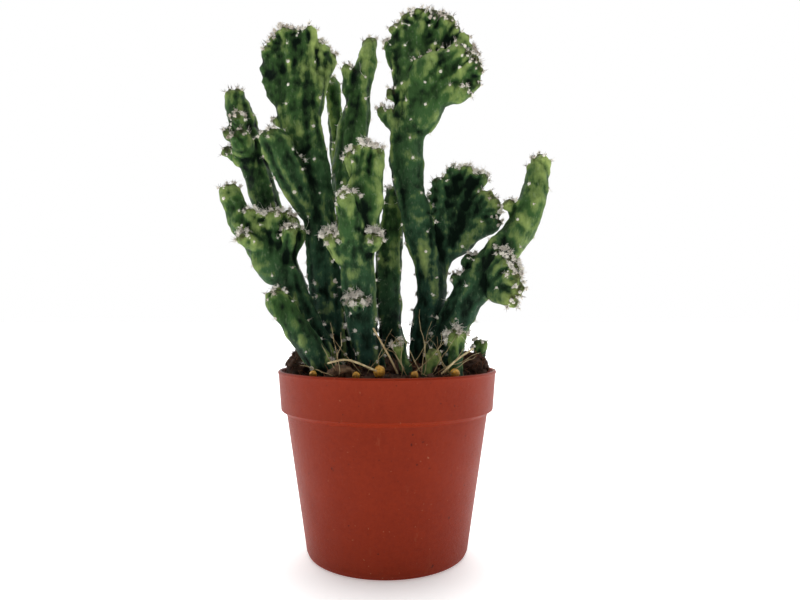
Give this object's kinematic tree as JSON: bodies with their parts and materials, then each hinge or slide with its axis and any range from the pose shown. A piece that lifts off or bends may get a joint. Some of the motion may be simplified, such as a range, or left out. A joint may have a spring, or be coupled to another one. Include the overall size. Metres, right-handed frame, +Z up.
{
  "type": "potted monstrose cactus",
  "caption": "Clump of crested, woolly columnar cactus stems growing from dark soil in a round plastic nursery pot.",
  "frame": {"origin": "centre of the pot's flat underside", "axes": "+Z up, -Y towards the front of the clump, +X to its right"},
  "size_m": [0.185, 0.12, 0.3048],
  "materials": {
    "pot_plastic": "matte brown-red plastic with fine scuffs",
    "peat": "loose dark peat with fibres",
    "bark": "rough bark",
    "stem_skin": "waxy dark green skin, paler on the high parts",
    "bright_skin": "waxy bright green skin",
    "wool": "cream wool and fine spines",
    "fertiliser": "yellow coated prills",
    "dry_grass": "dry straw"
  },
  "bodies": {
    "root": {"pot": "pot_plastic", "potting_soil": "peat", "bark_lump": "bark", "tall_stem": "stem_skin", "left_stem": "stem_skin", "centre_stem": "stem_skin", "far_left_stem": "stem_skin", "left_crest_stem": "stem_skin", "low_left_stem": "stem_skin", "middle_stem": "stem_skin", "right_stem": "stem_skin", "pup_a": "stem_skin", "pup_b": "stem_skin", "pup_c": "stem_skin", "pup_d": "stem_skin", "slim_stem": "bright_skin", "front_stem": "bright_skin", "prill_1": "fertiliser", "prill_2": "fertiliser", "prill_3": "fertiliser", "prill_4": "fertiliser", "prill_5": "fertiliser", "straw_1": "dry_grass", "straw_2": "dry_grass", "straw_3": "dry_grass"}
  },
  "joints": []
}
